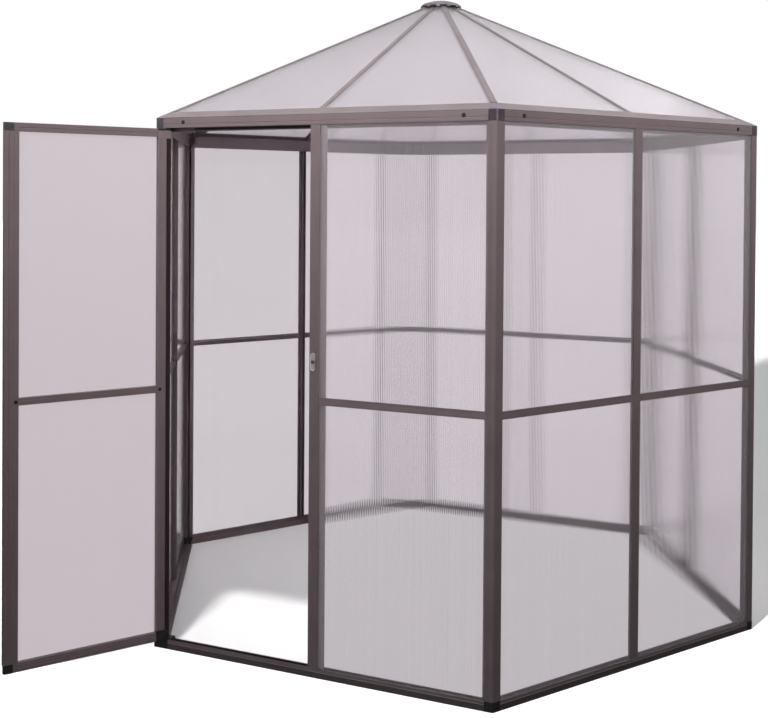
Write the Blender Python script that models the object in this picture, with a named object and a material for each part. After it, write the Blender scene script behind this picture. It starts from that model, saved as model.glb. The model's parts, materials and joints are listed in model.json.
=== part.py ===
"""Six-sided aluminium greenhouse with one swing door, metres, +Z up.

The origin is the middle of the underside of the door wall's base rail.
Wall 0 is the door wall and faces -Y. Walls and corners count anticlockwise.
A wall is drawn with u along it, d inwards from its outer face and z up.
"""
import math

import bmesh
import bpy
from mathutils import Vector

# Overall sizes
FLAT_WIDTH = 2.110          # outer width across two opposite walls
EAVE_HEIGHT = 1.800         # top edge of the fascia
ROOF_RISE = 0.525           # from the fascia's top edge to where the roof planes meet

# Profile sizes shared by the bars
SKIN = 0.0016               # wall of the extrusions
SHEET = 0.0040              # twin-wall sheet
FIT = 0.0003                # gap between pieces that touch
LEG_DEPTH = 0.0240          # depth of the posts' and mullions' legs
NOSE_RADIUS = 0.0080        # rounding of the outer corners
NOSE_STEPS = 3
RIDGE = 0.0004              # depth of the decorative lines
RIDGE_SHARES = (0.36, 0.64) # where they lie across a face

# Base rail
BASE_HEIGHT = 0.0300
SILL_DEPTH = 0.0460
BASE_GROOVE = 0.0140
SILL_LIP = 0.0220
SILL_RIB = 0.0120

# Corner post
POST_FLANGE = 0.0300
POST_CORE = 0.0170
POST_LEG = 0.0240           # distance of the leg from the corner, along the wall
POST_WING = 0.0400
ARM_MARGIN = 0.0015         # what the corner blocks add beyond the mitre
BLOCK_PROUD = 0.0006        # how far the corner blocks stand out from the post

# Eave rail
FASCIA_HEIGHT = 0.0350
FASCIA_GROOVE = 0.0184
ROOF_BAND = 0.0480          # width of the band that takes the roof sheet
EAVE_LEG_DROP = 0.0120      # how far the inner leg hangs below the fascia
LUG_FRONT = 0.0010          # fascia left in front of the pivot lug
LUG_ROOT = 0.0064           # how deep the lug starts inside the corner cap

# Mullion and mid rail
MULLION_WIDTH = 0.0340
MULLION_LEG_WIDTH = 0.0160
STOP_REACH = 0.0280         # door stop, from the middle of the mullion
BACKING_REACH = 0.0400      # backing strip beside the door mullion's pane
MID_RAIL_HEIGHT = 0.0240
MID_RAIL_CENTRE = 0.8850
MID_RAIL_LEG_HEIGHT = 0.0120
MID_RAIL_DEPTH = 0.0200
MID_RAIL_RECESS = 0.0003    # its face lies this far behind the mullion's
MID_RAIL_ROOT = 0.0030      # how far a mid rail reaches behind the mullion's edge
WEB = 0.0020

# Rafters and crown
HIP_WIDTH = 0.0220
RAFTER_WIDTH = 0.0180
RAFTER_LEG_WIDTH = 0.0100
RAFTER_DEPTH = 0.0260
TONGUE_MARGIN = 0.0012      # the corner cap's tongue beyond the roof band
CROWN_SINK = 0.0050         # the crown's top below the point where the roof planes meet
CROWN_RADIUS = 0.0800
CROWN_BOSS = 0.0615
CROWN_EDGE = 0.0095         # rim's height over the hips
CROWN_BOSS_DROP = 0.0450
CROWN_LOBE = 0.0012         # gap between the rim's lobes and the roof
CROWN_WALL = 0.0064
CROWN_FLATS = 12            # one for each rafter
CROWN_DOME = ((0.5, 0.0032), (0.85, 0.0112))    # share of the radius, drop from the top
SHEET_TOP_GAP = 0.0045      # roof sheet's end to the boss

# Door
DOOR_THICKNESS = 0.0180
DOOR_SETBACK = 0.0010
DOOR_GAP = 0.0025           # at the two stiles
DOOR_TOP_GAP = 0.0035
DOOR_BOTTOM_GAP = 0.0035
STILE_WIDTH = 0.0460
TOP_RAIL_HEIGHT = 0.0275
BOTTOM_RAIL_HEIGHT = 0.0290
DOOR_MID_HEIGHT = 0.0230
DOOR_MID_CENTRE = 0.8850
DOOR_GROOVE = 0.0080
SLIT = 0.0020
PIVOT_INSET = 0.0080        # pivot axis from the hinge stile's edge
PIVOT_DEPTH = 0.0060        # pivot axis behind the wall's outer face
PIVOT_RADIUS = 0.0025
PIVOT_LENGTH = 0.0120
PIVOT_ARM = 0.0540          # corner blocks that carry the pivots, from the corner
PLUG_HEIGHT = 0.0060
PLUG_TENON = 0.0300
TENON_ROOT = 0.0030         # where tenon and pin start inside the plug
PIN_ROOT = 0.0020
DOOR_OPEN = math.radians(121.0)

# Turn latch
LATCH_LENGTH = 0.0570
LATCH_WIDTH = 0.0200
LATCH_THICKNESS = 0.0034
LATCH_HEIGHT = 1.0100
LATCH_OFFSET = -0.0030
LATCH_SHAFT = 0.0040
LATCH_HEAD = 0.0060
LATCH_HEAD_THICKNESS = 0.0020
LATCH_SIDES = 20

# What follows from the sizes above
SIX = 6
TAN30 = math.tan(math.radians(30))
SIN60 = math.sin(math.radians(60))
APOTHEM = FLAT_WIDTH / 2
HALF_SIDE = APOTHEM * TAN30
CENTRE_Y = APOTHEM - SILL_DEPTH / 2
ROOF_SLOPE = math.atan2(ROOF_RISE, APOTHEM)
HIP_SLOPE = math.atan(math.tan(ROOF_SLOPE) * SIN60)
HIP_FOLD = math.atan(0.5 * math.tan(ROOF_SLOPE) * math.cos(HIP_SLOPE))
GROOVE_IN = SKIN + SHEET + 2 * FIT
LIP_BACK = GROOVE_IN + SKIN
EAVE_BOTTOM = EAVE_HEIGHT - FASCIA_HEIGHT
APEX_HEIGHT = EAVE_HEIGHT + ROOF_RISE
CROWN_TOP = APEX_HEIGHT - CROWN_SINK
BAND_REACH = ROOF_BAND * math.cos(ROOF_SLOPE) + LIP_BACK * math.sin(ROOF_SLOPE)
CORNER_ARM = max(SILL_DEPTH, BAND_REACH) * TAN30 + ARM_MARGIN
EAVE_LEG = LEG_DEPTH + FIT
BAY = HALF_SIDE - POST_FLANGE
FACET = math.radians(9)      # half of each flat on the crown's boss


def material(name, colour, roughness, metallic=0.0):
    made = bpy.data.materials.new(name)
    made.use_nodes = True
    shader = made.node_tree.nodes["Principled BSDF"]
    shader.inputs["Base Color"].default_value = (*colour, 1.0)
    shader.inputs["Roughness"].default_value = roughness
    shader.inputs["Metallic"].default_value = metallic
    return made


def body(name, bm, finish):
    """Close a bmesh into a named object with its faces pointing out."""
    bmesh.ops.recalc_face_normals(bm, faces=bm.faces)
    mesh = bpy.data.meshes.new(name)
    bm.to_mesh(mesh)
    bm.free()
    made = bpy.data.objects.new(name, mesh)
    bpy.context.collection.objects.link(made)
    mesh.materials.append(finish)
    return made


def sweep(name, outline, start, end, finish):
    """A bar of constant outline; start and end place an outline point in space."""
    bm = bmesh.new()
    low = [bm.verts.new(start(*point)) for point in outline]
    high = [bm.verts.new(end(*point)) for point in outline]
    count = len(outline)
    for i in range(count):
        j = (i + 1) % count
        bm.faces.new((low[i], low[j], high[j], high[i]))
    bm.faces.new(low[::-1])
    bm.faces.new(high)
    return body(name, bm, finish)


def upright(name, outline, bottom, top, finish):
    """A vertical bar from a plan outline."""
    return sweep(name, outline, lambda x, y: (x, y, bottom), lambda x, y: (x, y, top), finish)


def lying(name, outline, left, right, finish):
    """A bar along a wall from a (d, z) outline, in the wall's own frame."""
    return sweep(name, outline, lambda d, z: (left, d - APOTHEM, z),
                 lambda d, z: (right, d - APOTHEM, z), finish)


def block(name, low, high, finish):
    """A rectangular solid between two corners."""
    outline = [(low[0], low[1]), (high[0], low[1]), (high[0], high[1]), (low[0], high[1])]
    return upright(name, outline, low[2], high[2], finish)


def cylinder(name, radius, low, high, finish, centre=(0, 0), sides=16):
    """An upright round bar, shaded smooth."""
    turn = 2 * math.pi / sides
    outline = [(centre[0] + radius * math.cos(turn * i), centre[1] + radius * math.sin(turn * i))
               for i in range(sides)]
    made = upright(name, outline, low, high, finish)
    made.data.shade_smooth()
    made.data.set_sharp_from_angle(angle=math.radians(40))
    return made


def settle(target, tools, operation="UNION"):
    """Join or cut target with the tools, keep the result as its own mesh."""
    for tool in tools:
        step = target.modifiers.new(tool.name, "BOOLEAN")
        step.operation = operation
        step.solver = "EXACT"
        step.object = tool
        tool.hide_render = True
        tool.display_type = "WIRE"
    bpy.context.view_layer.update()
    graph = bpy.context.evaluated_depsgraph_get()
    mesh = bpy.data.meshes.new_from_object(target.evaluated_get(graph))
    mesh.name = target.name
    target.modifiers.clear()
    target.data = mesh
    for tool in tools:
        bpy.data.objects.remove(tool)
    return target


def ring_of(first, names):
    """Place a piece of wall or corner 0 and its copies round the greenhouse."""
    placed = []
    for name, index in names:
        made = first if not placed else bpy.data.objects.new(name, first.data)
        if placed:
            bpy.context.collection.objects.link(made)
        made.name = name
        made.location = (0, CENTRE_Y, 0)
        made.rotation_euler = (0, 0, math.radians(60 * index))
        placed.append(made)
    return placed


def numbered(stem, indices=range(SIX)):
    """Names stem_1 to stem_6 with the wall or corner that each belongs to."""
    return [(f"{stem}_{index + 1}", index) for index in indices]


def corner_right(s, d):
    """Plan point of corner 0 at s along wall 0 and d inwards, from the centre."""
    return (s - HALF_SIDE, d - APOTHEM)


def corner_left(s, d):
    """The same point mirrored into the wall on the corner's other side."""
    x, y = corner_right(s, d)
    angle = 2 * math.radians(-120)
    return (math.cos(angle) * x + math.sin(angle) * y, math.sin(angle) * x - math.cos(angle) * y)


def nose(proud=0.0):
    """Rounded outer edge, as (s, d) points from the middle of the arc to the wall's face."""
    tangent = NOSE_RADIUS * TAN30 - proud * TAN30
    points = []
    for i in range(NOSE_STEPS + 1):
        turn = math.radians(30) * (1 - i / NOSE_STEPS)
        points.append((tangent - NOSE_RADIUS * math.sin(turn),
                       NOSE_RADIUS * (1 - math.cos(turn)) - proud))
    return points


def across_corner(half, other=None):
    """Plan outline from its right half; ends shared with the mirrored half are kept once."""
    other = half if other is None else other
    right = [corner_right(*point) for point in half]
    left = [corner_left(*point) for point in other]
    return right + left[-2:0:-1]


def mitre(d):
    """The (s, d) point on the corner's middle line at depth d."""
    return (d * TAN30, d)


def ridges(width, start=0.0):
    """Two fine lines cut in a face, as (along, depth) points."""
    points = []
    for share in RIDGE_SHARES:
        middle = start + width * share
        points += [(middle - 2 * RIDGE, 0), (middle - RIDGE, RIDGE),
                   (middle + RIDGE, RIDGE), (middle + 2 * RIDGE, 0)]
    return points


def post_outline():
    inner = LEG_DEPTH - SKIN
    half = nose()
    half += ridges(POST_FLANGE - NOSE_RADIUS, NOSE_RADIUS)
    half += [(POST_FLANGE, 0), (POST_FLANGE, SKIN), (POST_CORE, SKIN), (POST_CORE, GROOVE_IN),
             (POST_FLANGE, GROOVE_IN), (POST_FLANGE, LIP_BACK), (POST_LEG, LIP_BACK),
             (POST_LEG, inner), (POST_WING, inner), (POST_WING, LEG_DEPTH),
             (POST_LEG - SKIN, LEG_DEPTH), (POST_LEG - SKIN, LIP_BACK), mitre(LIP_BACK)]
    return across_corner(half)


def foot_outline(door_side):
    """Base corner block; the door side's arm is longer and carries the pivot."""
    arm = PIVOT_ARM if door_side else CORNER_ARM
    inner = mitre(SILL_DEPTH)
    front = -BLOCK_PROUD
    edge = nose(BLOCK_PROUD)
    right = edge + [(arm, front), (arm, SILL_DEPTH), inner]
    left = edge + [(CORNER_ARM, front), (CORNER_ARM, SILL_DEPTH), inner]
    return across_corner(right, left)


def cap_mesh(name, finish):
    """Eave corner cap: its top follows the two roof planes and ends in a tongue."""
    tip = tongue_tip()
    half = nose(BLOCK_PROUD) + [(CORNER_ARM, -BLOCK_PROUD), (CORNER_ARM, BAND_REACH + FIT),
                                from_hip(tip, HIP_WIDTH / 2), from_hip(tip, 0)]
    low_z = EAVE_BOTTOM - 2 * FIT
    bm = bmesh.new()
    sides = []
    for place in (corner_right, corner_left):
        low = [bm.verts.new((*place(*point), low_z)) for point in half]
        high = [bm.verts.new((*place(*point), roof_height(point[1]))) for point in half]
        sides.append((low, high))
        for i in range(len(half) - 1):
            bm.faces.new((low[i], low[i + 1], high[i + 1], high[i]))
        bm.faces.new(low)
        bm.faces.new(high)
    bmesh.ops.remove_doubles(bm, verts=bm.verts, dist=FIT / 10)
    return body(name, bm, finish)


def roof_height(d):
    """Height of the roof's top surface at a plan distance d inside the fascia."""
    return EAVE_HEIGHT + d * math.tan(ROOF_SLOPE)


def corner_posts(finish):
    """Six posts, each joined to its base corner block and eave corner cap."""
    pin = pivot_place()
    made = []
    for door_side, names in ((True, numbered("corner_post", [0])),
                             (False, numbered("corner_post", range(1, SIX)))):
        post = upright(names[0][0], post_outline(), BASE_HEIGHT + FIT, EAVE_BOTTOM - FIT, finish)
        foot = upright("foot", foot_outline(door_side), 0, BASE_HEIGHT + 2 * FIT, finish)
        cap = cap_mesh("cap", finish)
        tools = [foot, cap]
        if door_side:
            low = corner_right(CORNER_ARM - LUG_ROOT, SKIN + FIT)
            high = corner_right(PIVOT_ARM, LEG_DEPTH - SKIN - FIT)
            tools.append(block("lug", (*low, EAVE_BOTTOM + FIT),
                               (*high, EAVE_BOTTOM + FASCIA_GROOVE), finish))
        settle(post, tools)
        if door_side:
            low_hole = cylinder("hole_low", PIVOT_RADIUS + FIT, BASE_HEIGHT - PIVOT_LENGTH,
                                BASE_HEIGHT + SHEET, finish, pin)
            high_hole = cylinder("hole_high", PIVOT_RADIUS + FIT, EAVE_BOTTOM - SHEET,
                                 EAVE_BOTTOM + PIVOT_LENGTH + FIT, finish, pin)
            settle(post, [low_hole, high_hole], "DIFFERENCE")
        made += ring_of(post, names)
    return made


def pivot_place():
    """Plan point of the door's pivot axis, from the centre."""
    return corner_right(POST_FLANGE + DOOR_GAP + PIVOT_INSET, PIVOT_DEPTH)


def base_outline():
    back = SILL_DEPTH
    rib = (LIP_BACK + back) / 2
    return [(0, 0), (back, 0), (back, SILL_LIP), (back - SKIN, SILL_LIP), (back - SKIN, SKIN),
            (rib + SKIN / 2, SKIN), (rib + SKIN / 2, SILL_RIB), (rib - SKIN / 2, SILL_RIB),
            (rib - SKIN / 2, SKIN), (LIP_BACK, SKIN), (LIP_BACK, BASE_HEIGHT),
            (GROOVE_IN, BASE_HEIGHT), (GROOVE_IN, BASE_HEIGHT - BASE_GROOVE),
            (SKIN, BASE_HEIGHT - BASE_GROOVE), (SKIN, BASE_HEIGHT), (0, BASE_HEIGHT)]


def base_rails(finish):
    end = HALF_SIDE - CORNER_ARM - FIT
    door_end = HALF_SIDE - PIVOT_ARM - FIT
    door_rail = lying("base_rail_1", base_outline(), -door_end, end, finish)
    rail = lying("base_rail_2", base_outline(), -end, end, finish)
    return (ring_of(door_rail, numbered("base_rail", [0]))
            + ring_of(rail, numbered("base_rail", range(1, SIX))))


def sloped(a, b):
    """The (d, z) point at a up the slope from the fascia and b below the roof's surface."""
    return (a * math.cos(ROOF_SLOPE) + b * math.sin(ROOF_SLOPE),
            EAVE_HEIGHT + a * math.sin(ROOF_SLOPE) - b * math.cos(ROOF_SLOPE))


def under_roof(d, b):
    """The (d, z) point at plan distance d on the plane b below the roof's surface."""
    return (d, roof_height(d) - b / math.cos(ROOF_SLOPE))


def eave_outline():
    leg_back = EAVE_LEG + SKIN
    low = EAVE_BOTTOM - EAVE_LEG_DROP
    groove = EAVE_BOTTOM + FASCIA_GROOVE
    return [(0, EAVE_BOTTOM), (0, EAVE_HEIGHT), sloped(ROOF_BAND, 0), sloped(ROOF_BAND, SKIN),
            under_roof(leg_back, SKIN), under_roof(leg_back, GROOVE_IN),
            sloped(ROOF_BAND, GROOVE_IN), sloped(ROOF_BAND, LIP_BACK),
            under_roof(leg_back, LIP_BACK), (leg_back, low), (EAVE_LEG, low),
            under_roof(EAVE_LEG, SKIN), under_roof(SKIN, SKIN), (SKIN, groove + SKIN),
            (LIP_BACK, groove + SKIN), (LIP_BACK, EAVE_BOTTOM), (GROOVE_IN, EAVE_BOTTOM),
            (GROOVE_IN, groove), (SKIN, groove), (SKIN, EAVE_BOTTOM)]


def eave_rails(finish):
    end = HALF_SIDE - CORNER_ARM - FIT
    door_rail = lying("eave_rail_1", eave_outline(), -end, end, finish)
    seat = block("seat", (-HALF_SIDE, LUG_FRONT - APOTHEM, EAVE_BOTTOM - SKIN),
                 (PIVOT_ARM + FIT - HALF_SIDE, EAVE_LEG - SKIN - APOTHEM,
                  EAVE_BOTTOM + FASCIA_GROOVE + 2 * SKIN), finish)
    settle(door_rail, [seat], "DIFFERENCE")
    rail = lying("eave_rail_2", eave_outline(), -end, end, finish)
    return (ring_of(door_rail, numbered("eave_rail", [0]))
            + ring_of(rail, numbered("eave_rail", range(1, SIX))))


def mullion_outline(stop, backing):
    """Plan outline (u, d); stop and backing are the reaches of the door side's strips."""
    half = MULLION_WIDTH / 2
    leg = MULLION_LEG_WIDTH / 2
    inner = LEG_DEPTH - SKIN
    right = [(half, 0), (half, SKIN), (WEB / 2, SKIN), (WEB / 2, GROOVE_IN),
             (backing, GROOVE_IN), (backing, LIP_BACK), (leg, LIP_BACK), (leg, LEG_DEPTH),
             (leg - SKIN, LEG_DEPTH), (leg - SKIN, LIP_BACK)]
    left = [(-leg + SKIN, LIP_BACK), (-leg + SKIN, LEG_DEPTH)]
    left += [(-stop, LEG_DEPTH), (-stop, inner)] if stop > leg else [(-leg, LEG_DEPTH)]
    left += [(-leg, inner), (-leg, LIP_BACK)] if stop > leg else [(-leg, LIP_BACK)]
    left += [(-half, LIP_BACK), (-half, GROOVE_IN), (-WEB / 2, GROOVE_IN), (-WEB / 2, SKIN),
             (-half, SKIN), (-half, 0)]
    lines = [(along, depth) for along, depth in ridges(MULLION_WIDTH, -half)]
    return [(u, d - APOTHEM) for u, d in right + left + lines]


def mid_rail_outline():
    """(d, z) outline of a mid rail, a little thinner than the mullion that it joins."""
    half = MID_RAIL_HEIGHT / 2
    leg = MID_RAIL_LEG_HEIGHT / 2
    face = MID_RAIL_RECESS
    front = SKIN - face
    back = GROOVE_IN + face
    lip = LIP_BACK - face
    up = [(face, half), (front, half), (front, WEB / 2), (back, WEB / 2), (back, half),
          (lip, half), (lip, leg), (MID_RAIL_DEPTH, leg), (MID_RAIL_DEPTH, leg - SKIN),
          (lip, leg - SKIN)]
    down = [(d, -z) for d, z in reversed(up)]
    lines = [(face + depth, z) for z, depth in ridges(MID_RAIL_HEIGHT, -half)]
    return [(d, MID_RAIL_CENTRE + z) for d, z in up + down + lines]


def mullions(finish):
    """Each mullion carries its mid rails; the door wall's has one, and a door stop."""
    bottom = BASE_HEIGHT + FIT
    top = EAVE_BOTTOM - FIT
    root = MULLION_WIDTH / 2 - MID_RAIL_ROOT
    outer = BAY - FIT
    plain = MULLION_WIDTH / 2
    made = []
    for stop, backing, names in ((STOP_REACH, BACKING_REACH, numbered("mullion", [0])),
                                 (0, plain, numbered("mullion", range(1, SIX)))):
        post = upright(names[0][0], mullion_outline(stop, backing), bottom, top, finish)
        rails = [lying("rail_right", mid_rail_outline(), root, outer, finish)]
        if not stop:
            rails.append(lying("rail_left", mid_rail_outline(), -outer, -root, finish))
        settle(post, rails)
        made += ring_of(post, names)
    return made


def slab(name, xs, zs, is_open, place, finish):
    """A sheet of rectangular cells with the open ones left out; place gives (x, z, side)."""
    bm = bmesh.new()
    points = {}

    def vertex(i, j, side):
        if (i, j, side) not in points:
            points[i, j, side] = bm.verts.new(place(xs[i], zs[j], side))
        return points[i, j, side]

    def filled(i, j):
        inside = 0 <= i < len(xs) - 1 and 0 <= j < len(zs) - 1
        return inside and not is_open((xs[i] + xs[i + 1]) / 2, (zs[j] + zs[j + 1]) / 2)

    for i in range(len(xs) - 1):
        for j in range(len(zs) - 1):
            if not filled(i, j):
                continue
            corners = [(i, j), (i + 1, j), (i + 1, j + 1), (i, j + 1)]
            bm.faces.new([vertex(*c, 0) for c in corners])
            bm.faces.new([vertex(*c, 1) for c in reversed(corners)])
            beside = [(i, j - 1), (i + 1, j), (i, j + 1), (i - 1, j)]
            for k, neighbour in enumerate(beside):
                if not filled(*neighbour):
                    a, b = corners[k], corners[(k + 1) % 4]
                    bm.faces.new([vertex(*b, 0), vertex(*a, 0), vertex(*a, 1), vertex(*b, 1)])
    return body(name, bm, finish)


def wall_panes(finish):
    """One sheet node a wall; slots let the webs of the mullion and mid rails through."""
    edge = HALF_SIDE - POST_CORE - 2 * FIT
    notch = HALF_SIDE - CORNER_ARM - 2 * FIT
    slot = WEB / 2 + FIT
    foot_top = BASE_HEIGHT + 3 * FIT
    cap_low = EAVE_BOTTOM - 3 * FIT
    zs = [BASE_HEIGHT - BASE_GROOVE + FIT, BASE_HEIGHT, foot_top, MID_RAIL_CENTRE - slot,
          MID_RAIL_CENTRE + slot, cap_low, EAVE_BOTTOM, EAVE_BOTTOM + FASCIA_GROOVE - FIT]

    def is_open(x, z):
        in_notch = abs(x) > notch and not foot_top < z < cap_low
        in_stem = abs(x) < slot and BASE_HEIGHT < z < EAVE_BOTTOM
        in_cross = abs(x) < BAY and abs(z - MID_RAIL_CENTRE) < slot
        return in_notch or in_stem or in_cross

    def place(x, z, side):
        return (x, SKIN + FIT + SHEET * side - APOTHEM, z)

    half = slab("wall_panes_1", [slot, BAY, notch, edge], zs, is_open, place, finish)
    full = slab("wall_panes_2", [-edge, -notch, -BAY, -slot, slot, BAY, notch, edge], zs,
                is_open, place, finish)
    return (ring_of(half, numbered("wall_panes", [0]))
            + ring_of(full, numbered("wall_panes", range(1, SIX))))


def tongue_tip():
    """Plan distance from the sharp corner to where cap and hip rafter meet."""
    return TONGUE_MARGIN + (BAND_REACH + HIP_WIDTH / 4) / SIN60


def from_hip(x, w):
    """The (s, d) point at x from the corner towards the middle and w to the side."""
    return (x / 2 + w * SIN60, x * SIN60 - w / 2)


def bar_outline(width):
    """Glazing bar as (across, below the roof's surface): cap, web, flange and open leg."""
    half = width / 2
    leg = RAFTER_LEG_WIDTH / 2
    right = [(half, 0), (half, SKIN), (WEB / 2, SKIN), (WEB / 2, GROOVE_IN), (half, GROOVE_IN),
             (half, LIP_BACK), (leg, LIP_BACK), (leg, RAFTER_DEPTH), (leg - SKIN, RAFTER_DEPTH),
             (leg - SKIN, LIP_BACK)]
    return right + [(-w, b) for w, b in reversed(right)] + [(0, 0)]


def crown_seat():
    """Plan distance from the middle to the flats of the crown's boss."""
    return CROWN_BOSS * math.cos(FACET) + FIT


def mid_rafters(finish):
    end_d = APOTHEM - crown_seat()

    def low(w, b):
        d, z = sloped(ROOF_BAND + FIT, b)
        return (w, d - APOTHEM, z)

    def high(w, b):
        d, z = under_roof(end_d, b)
        return (w, d - APOTHEM, z)

    first = sweep("mid_rafter_1", bar_outline(RAFTER_WIDTH), low, high, finish)
    return ring_of(first, numbered("mid_rafter"))


def hip_rafters(finish):
    far = APOTHEM / SIN60
    inward = Vector((math.cos(math.radians(60)), math.sin(math.radians(60)), 0))
    aside = Vector((-inward.y, inward.x, 0))

    def at(x):
        def place(w, b):
            drop = math.tan(HIP_FOLD) * abs(w) + b / math.cos(HIP_FOLD)
            z = EAVE_HEIGHT + x * math.tan(HIP_SLOPE) - drop / math.cos(HIP_SLOPE)
            return inward * (x - far) + aside * w + Vector((0, 0, z))
        return place

    first = sweep("hip_rafter_1", bar_outline(HIP_WIDTH), at(tongue_tip() + FIT),
                  at(far - crown_seat()), finish)
    return ring_of(first, numbered("hip_rafter"))


def roof_panes(finish):
    """One sheet node a side; a slot lets the mid rafter's web through."""
    cos = math.cos(ROOF_SLOPE)
    slot = WEB / 2 + FIT
    edge = WEB / 2 + SHEET / 2
    tip = tongue_tip()
    tongue_s, tongue_d = from_hip(tip, HIP_WIDTH / 2)
    neck_s, neck_d = from_hip(tip + 2 * FIT, edge)
    low_d = EAVE_LEG + SKIN + FIT
    high_d = APOTHEM - CROWN_BOSS - SHEET_TOP_GAP
    high_s = from_hip((high_d + edge / 2) / SIN60, edge)[0]
    right = [(slot, high_d), (HALF_SIDE - high_s, high_d), (HALF_SIDE - neck_s, neck_d),
             (HALF_SIDE - tongue_s - 2 * FIT, tongue_d + 2 * FIT),
             (HALF_SIDE - tongue_s - 2 * FIT, low_d)]
    right = [(u, d / cos) for u, d in right]
    outline = [(slot, ROOF_BAND)] + right + [(-u, a) for u, a in reversed(right)]
    outline.append((-slot, ROOF_BAND))

    def place(b):
        def point(u, a):
            d, z = sloped(a, b)
            return (u, d - APOTHEM, z)
        return point

    first = sweep("roof_panes_1", outline, place(SKIN + FIT), place(SKIN + FIT + SHEET), finish)
    return ring_of(first, numbered("roof_panes"))


def roof_crown(finish):
    """Turned cap whose boss ties the rafters; its rim has a lobe between each two."""
    fall = math.tan(ROOF_SLOPE)
    step = 2 * math.pi / CROWN_FLATS

    def over_hip(r):
        return APEX_HEIGHT - r * SIN60 * fall + 2 * FIT

    def lobe(r, angle):
        from_mid = abs(angle % (2 * step) - step)
        return APEX_HEIGHT - r * math.cos(from_mid) * fall - CROWN_LOBE

    rim = CROWN_RADIUS
    skirt = rim - CROWN_WALL
    rings = [(rim * share, CROWN_TOP - drop, False) for share, drop in CROWN_DOME]
    rings += [(rim, over_hip(rim) + CROWN_EDGE, False), (rim, over_hip(rim), True),
              (skirt, over_hip(skirt), True), (skirt - FIT, over_hip(skirt), False),
              (CROWN_BOSS, over_hip(CROWN_BOSS), False),
              (CROWN_BOSS, CROWN_TOP - RAFTER_DEPTH - CROWN_BOSS_DROP, False)]
    angles = []
    for i in range(CROWN_FLATS):
        angles += [(i * step - FACET, False), (i * step + FACET, False),
                   (i * step + step / 3, True), (i * step + 2 * step / 3, True)]
    bm = bmesh.new()
    loops = []
    for r, height, hangs in rings:
        loops.append([bm.verts.new((r * math.cos(a), r * math.sin(a),
                                    lobe(r, a) if hangs and lobed else height))
                      for a, lobed in angles])
    for upper, lower in zip(loops, loops[1:]):
        for i in range(len(angles)):
            j = (i + 1) % len(angles)
            bm.faces.new((upper[i], lower[i], lower[j], upper[j]))
    middle = bm.verts.new((0, 0, CROWN_TOP))
    for i in range(len(angles)):
        bm.faces.new((loops[0][i], loops[0][(i + 1) % len(angles)], middle))
    bm.faces.new(loops[-1])
    made = body("roof_crown", bm, finish)
    made.location = (0, CENTRE_Y, 0)
    return [made]


def box_section(width, groove):
    """Door bar as (across, through): a slit box with a groove for the sheet at its far edge."""
    thick = DOOR_THICKNESS
    mid = thick / 2
    gap = SHEET / 2 + FIT
    inner = width - groove - SKIN
    slit = SLIT / 2
    return [(0, mid + slit), (0, thick), (width, thick), (width, mid + gap),
            (width - groove, mid + gap), (width - groove, mid - gap), (width, mid - gap),
            (width, 0), (0, 0), (0, mid - slit), (SKIN, mid - slit), (SKIN, SKIN),
            (inner, SKIN), (inner, thick - SKIN), (SKIN, thick - SKIN), (SKIN, mid + slit)]


def double_groove(height, groove):
    """Door mid rail as (across, through) with a groove for a sheet at both edges."""
    half = height / 2
    thick = DOOR_THICKNESS
    near = thick / 2 - SHEET / 2 - FIT
    far = thick / 2 + SHEET / 2 + FIT
    low = [(-half, 0), (-half, near), (-half + groove, near), (-half + groove, far),
           (-half, far), (-half, thick)]
    return low + [(-z, y) for z, y in reversed(low)]


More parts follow.
